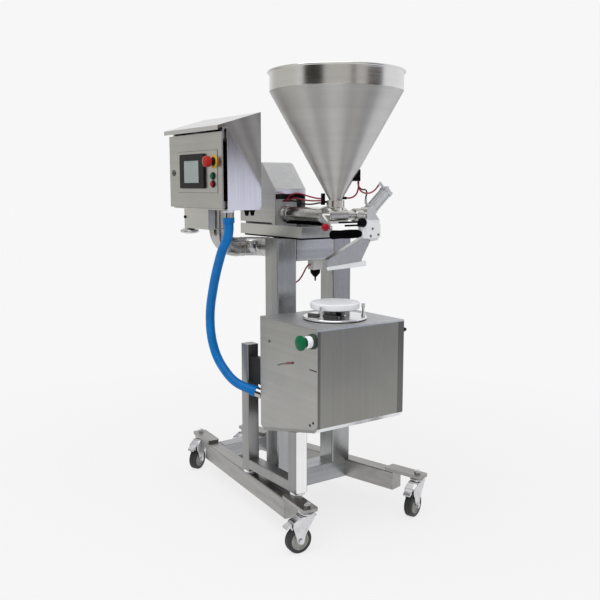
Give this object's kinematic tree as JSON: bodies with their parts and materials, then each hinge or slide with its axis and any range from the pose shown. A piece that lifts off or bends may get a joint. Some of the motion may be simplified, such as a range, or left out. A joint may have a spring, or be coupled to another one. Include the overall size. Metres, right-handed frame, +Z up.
{
  "type": "cake filling station",
  "caption": "Wheeled stainless cake filling station: piston filler with conical hopper, operator cabinet on a pipe arm, and a box-mounted turntable under a flat spreading nozzle.",
  "frame": {"origin": "on the floor under the middle of the overall box", "axes": "+Z up; -Y is the operator's side with the cabinet door; +X is the operator's right, where hopper and turntable are"},
  "size_m": [1.1345, 0.7591, 1.694],
  "materials": {
    "frame_steel": "brushed stainless tube, fine grain along its length",
    "sheet_steel": "brushed stainless sheet with an even satin grain",
    "bright_steel": "turned and satin-polished stainless",
    "polished_steel": "polished stainless pipe",
    "hopper_steel": "spun stainless, satin with rings of polish",
    "white_plastic": "white machined food-grade plastic",
    "black_plastic": "black moulded plastic",
    "black_rubber": "black rubber",
    "red_plastic": "glossy red plastic",
    "green_plastic": "glossy green plastic",
    "yellow_plastic": "yellow plastic collar and black ring collars",
    "screen_black": "black bezel round a grey display",
    "blue_hose": "smooth blue hose",
    "air_tube": "black and dark red air tube",
    "motor_grey": "grey enamel",
    "tyre_rubber": "dark grey tyre on a grey core"
  },
  "bodies": {
    "frame": {"base_rails": "frame_steel", "cross_beams": "frame_steel", "caster_plates": "frame_steel", "columns": "frame_steel", "top_beam": "frame_steel", "tray_pad": "black_rubber", "tray": "sheet_steel", "guard": "sheet_steel", "air_cylinder": "bright_steel", "product_cylinder": "bright_steel", "valve_housing": "bright_steel", "hopper": "hopper_steel", "pipe_clamps": "bright_steel", "nozzle_body": "bright_steel", "nozzle_block": "white_plastic", "spreader_nozzle": "sheet_steel", "spreader_lip": "white_plastic", "cutoff_cylinder": "bright_steel", "grip": "black_rubber", "arm_pipe": "polished_steel", "cabinet_body": "sheet_steel", "junction_box": "sheet_steel", "cable_glands": "black_plastic", "hose_fittings": "polished_steel", "blue_hose": "blue_hose", "air_filter": "black_plastic", "air_tubes": "air_tube", "air_blocks": "black_plastic", "turntable_box": "sheet_steel", "gearmotor": "motor_grey", "stand_frame": "frame_steel", "stand_block": "black_rubber"},
    "turntable": {"turntable_disc": "bright_steel", "cake_plate": "white_plastic"},
    "piston": {"piston": "white_plastic"},
    "valve": {"valve_plug": "bright_steel", "valve_knob": "red_plastic"},
    "cutoff": {"cutoff_rod": "bright_steel"},
    "trigger": {"trigger_lever": "black_plastic"},
    "palm": {"palm_button": "green_plastic"},
    "door": {"cabinet_door": "sheet_steel", "door_gasket": "black_rubber", "touch_screen": "screen_black", "button_collars": "yellow_plastic"},
    "estop": {"estop_head": "red_plastic"},
    "start": {"start_button": "green_plastic"},
    "stop": {"stop_button": "red_plastic"},
    "lock": {"door_lock": "bright_steel"},
    "swivel_a": {"caster_fork_a": "bright_steel"},
    "wheel_a": {"caster_wheel_a": "tyre_rubber"},
    "pedal_a": {"brake_pedal_a": "bright_steel"},
    "swivel_b": {"caster_fork_b": "bright_steel"},
    "wheel_b": {"caster_wheel_b": "tyre_rubber"},
    "pedal_b": {"brake_pedal_b": "bright_steel"},
    "swivel_c": {"caster_fork_c": "bright_steel"},
    "wheel_c": {"caster_wheel_c": "tyre_rubber"},
    "pedal_c": {"brake_pedal_c": "bright_steel"},
    "swivel_d": {"caster_fork_d": "bright_steel"},
    "wheel_d": {"caster_wheel_d": "tyre_rubber"},
    "pedal_d": {"brake_pedal_d": "bright_steel"}
  },
  "joints": [
    {"name": "turntable_spin", "type": "hinge", "parent": "frame", "child": "turntable", "pos_m": [0.31925, 0.0155, 0.812], "axis": [0, 0, 1], "continuous": true},
    {"name": "piston_slide", "type": "slide", "parent": "frame", "child": "piston", "axis": [1, 0, 0], "range_m": [0, 0.105]},
    {"name": "valve_turn", "type": "hinge", "parent": "frame", "child": "valve", "pos_m": [0.31925, 0.0155, 1.183], "axis": [0, 1, 0], "range_deg": [0, 90]},
    {"name": "cutoff_slide", "type": "slide", "parent": "frame", "child": "cutoff", "axis": [0, -0.7431, -0.6691], "range_m": [0, 0.024]},
    {"name": "trigger_squeeze", "type": "hinge", "parent": "frame", "child": "trigger", "pos_m": [0.36725, 0.1015, 1.157], "axis": [1, 0, 0], "range_deg": [0, 4], "stiffness_Nm_per_rad": 0.8, "springref_deg": -4.58},
    {"name": "palm_press", "type": "slide", "parent": "frame", "child": "palm", "axis": [0, 1, 0], "range_m": [0, 0.005], "stiffness_N_per_m": 1500, "springref_m": -0.003},
    {"name": "door_swing", "type": "hinge", "parent": "frame", "child": "door", "pos_m": [0.08825, -0.3205, 1.345], "axis": [0, 0, 1], "range_deg": [0, 110]},
    {"name": "estop_press", "type": "slide", "parent": "door", "child": "estop", "axis": [0, 1, 0], "range_m": [0, 0.005]},
    {"name": "start_press", "type": "slide", "parent": "door", "child": "start", "axis": [0, 1, 0], "range_m": [0, 0.003], "stiffness_N_per_m": 600, "springref_m": -0.002},
    {"name": "stop_press", "type": "slide", "parent": "door", "child": "stop", "axis": [0, 1, 0], "range_m": [0, 0.003], "stiffness_N_per_m": 600, "springref_m": -0.002},
    {"name": "lock_turn", "type": "hinge", "parent": "door", "child": "lock", "pos_m": [-0.29375, -0.3325, 1.342], "axis": [0, 1, 0], "range_deg": [0, 90]},
    {"name": "swivel_a_turn", "type": "hinge", "parent": "frame", "child": "swivel_a", "pos_m": [0.45025, -0.2025, 0.15], "axis": [0, 0, 1], "continuous": true},
    {"name": "wheel_a_roll", "type": "hinge", "parent": "swivel_a", "child": "wheel_a", "pos_m": [0.44694, -0.24036, 0.048], "axis": [0.9962, -0.0872, 0], "continuous": true},
    {"name": "pedal_a_press", "type": "hinge", "parent": "swivel_a", "child": "pedal_a", "pos_m": [0.44485, -0.26426, 0.112], "axis": [0.9962, -0.0872, 0], "range_deg": [0, 12]},
    {"name": "swivel_b_turn", "type": "hinge", "parent": "frame", "child": "swivel_b", "pos_m": [-0.53475, -0.1055, 0.15], "axis": [0, 0, 1], "continuous": true},
    {"name": "wheel_b_roll", "type": "hinge", "parent": "swivel_b", "child": "wheel_b", "pos_m": [-0.51575, -0.13841, 0.048], "axis": [0.866, 0.5, 0], "continuous": true},
    {"name": "pedal_b_press", "type": "hinge", "parent": "swivel_b", "child": "pedal_b", "pos_m": [-0.50375, -0.15919, 0.112], "axis": [0.866, 0.5, 0], "range_deg": [0, 12]},
    {"name": "swivel_c_turn", "type": "hinge", "parent": "frame", "child": "swivel_c", "pos_m": [0.43425, 0.3455, 0.15], "axis": [0, 0, 1], "continuous": true},
    {"name": "wheel_c_roll", "type": "hinge", "parent": "swivel_c", "child": "wheel_c", "pos_m": [0.44725, 0.30979, 0.048], "axis": [0.9397, 0.342, 0], "continuous": true},
    {"name": "pedal_c_press", "type": "hinge", "parent": "swivel_c", "child": "pedal_c", "pos_m": [0.45545, 0.28724, 0.112], "axis": [0.9397, 0.342, 0], "range_deg": [0, 12]},
    {"name": "swivel_d_turn", "type": "hinge", "parent": "frame", "child": "swivel_d", "pos_m": [-0.49575, 0.1175, 0.15], "axis": [0, 0, 1], "continuous": true},
    {"name": "wheel_d_roll", "type": "hinge", "parent": "swivel_d", "child": "wheel_d", "pos_m": [-0.48915, 0.08008, 0.048], "axis": [0.9848, 0.1736, 0], "continuous": true},
    {"name": "pedal_d_press", "type": "hinge", "parent": "swivel_d", "child": "pedal_d", "pos_m": [-0.48498, 0.05644, 0.112], "axis": [0.9848, 0.1736, 0], "range_deg": [0, 12]}
  ]
}
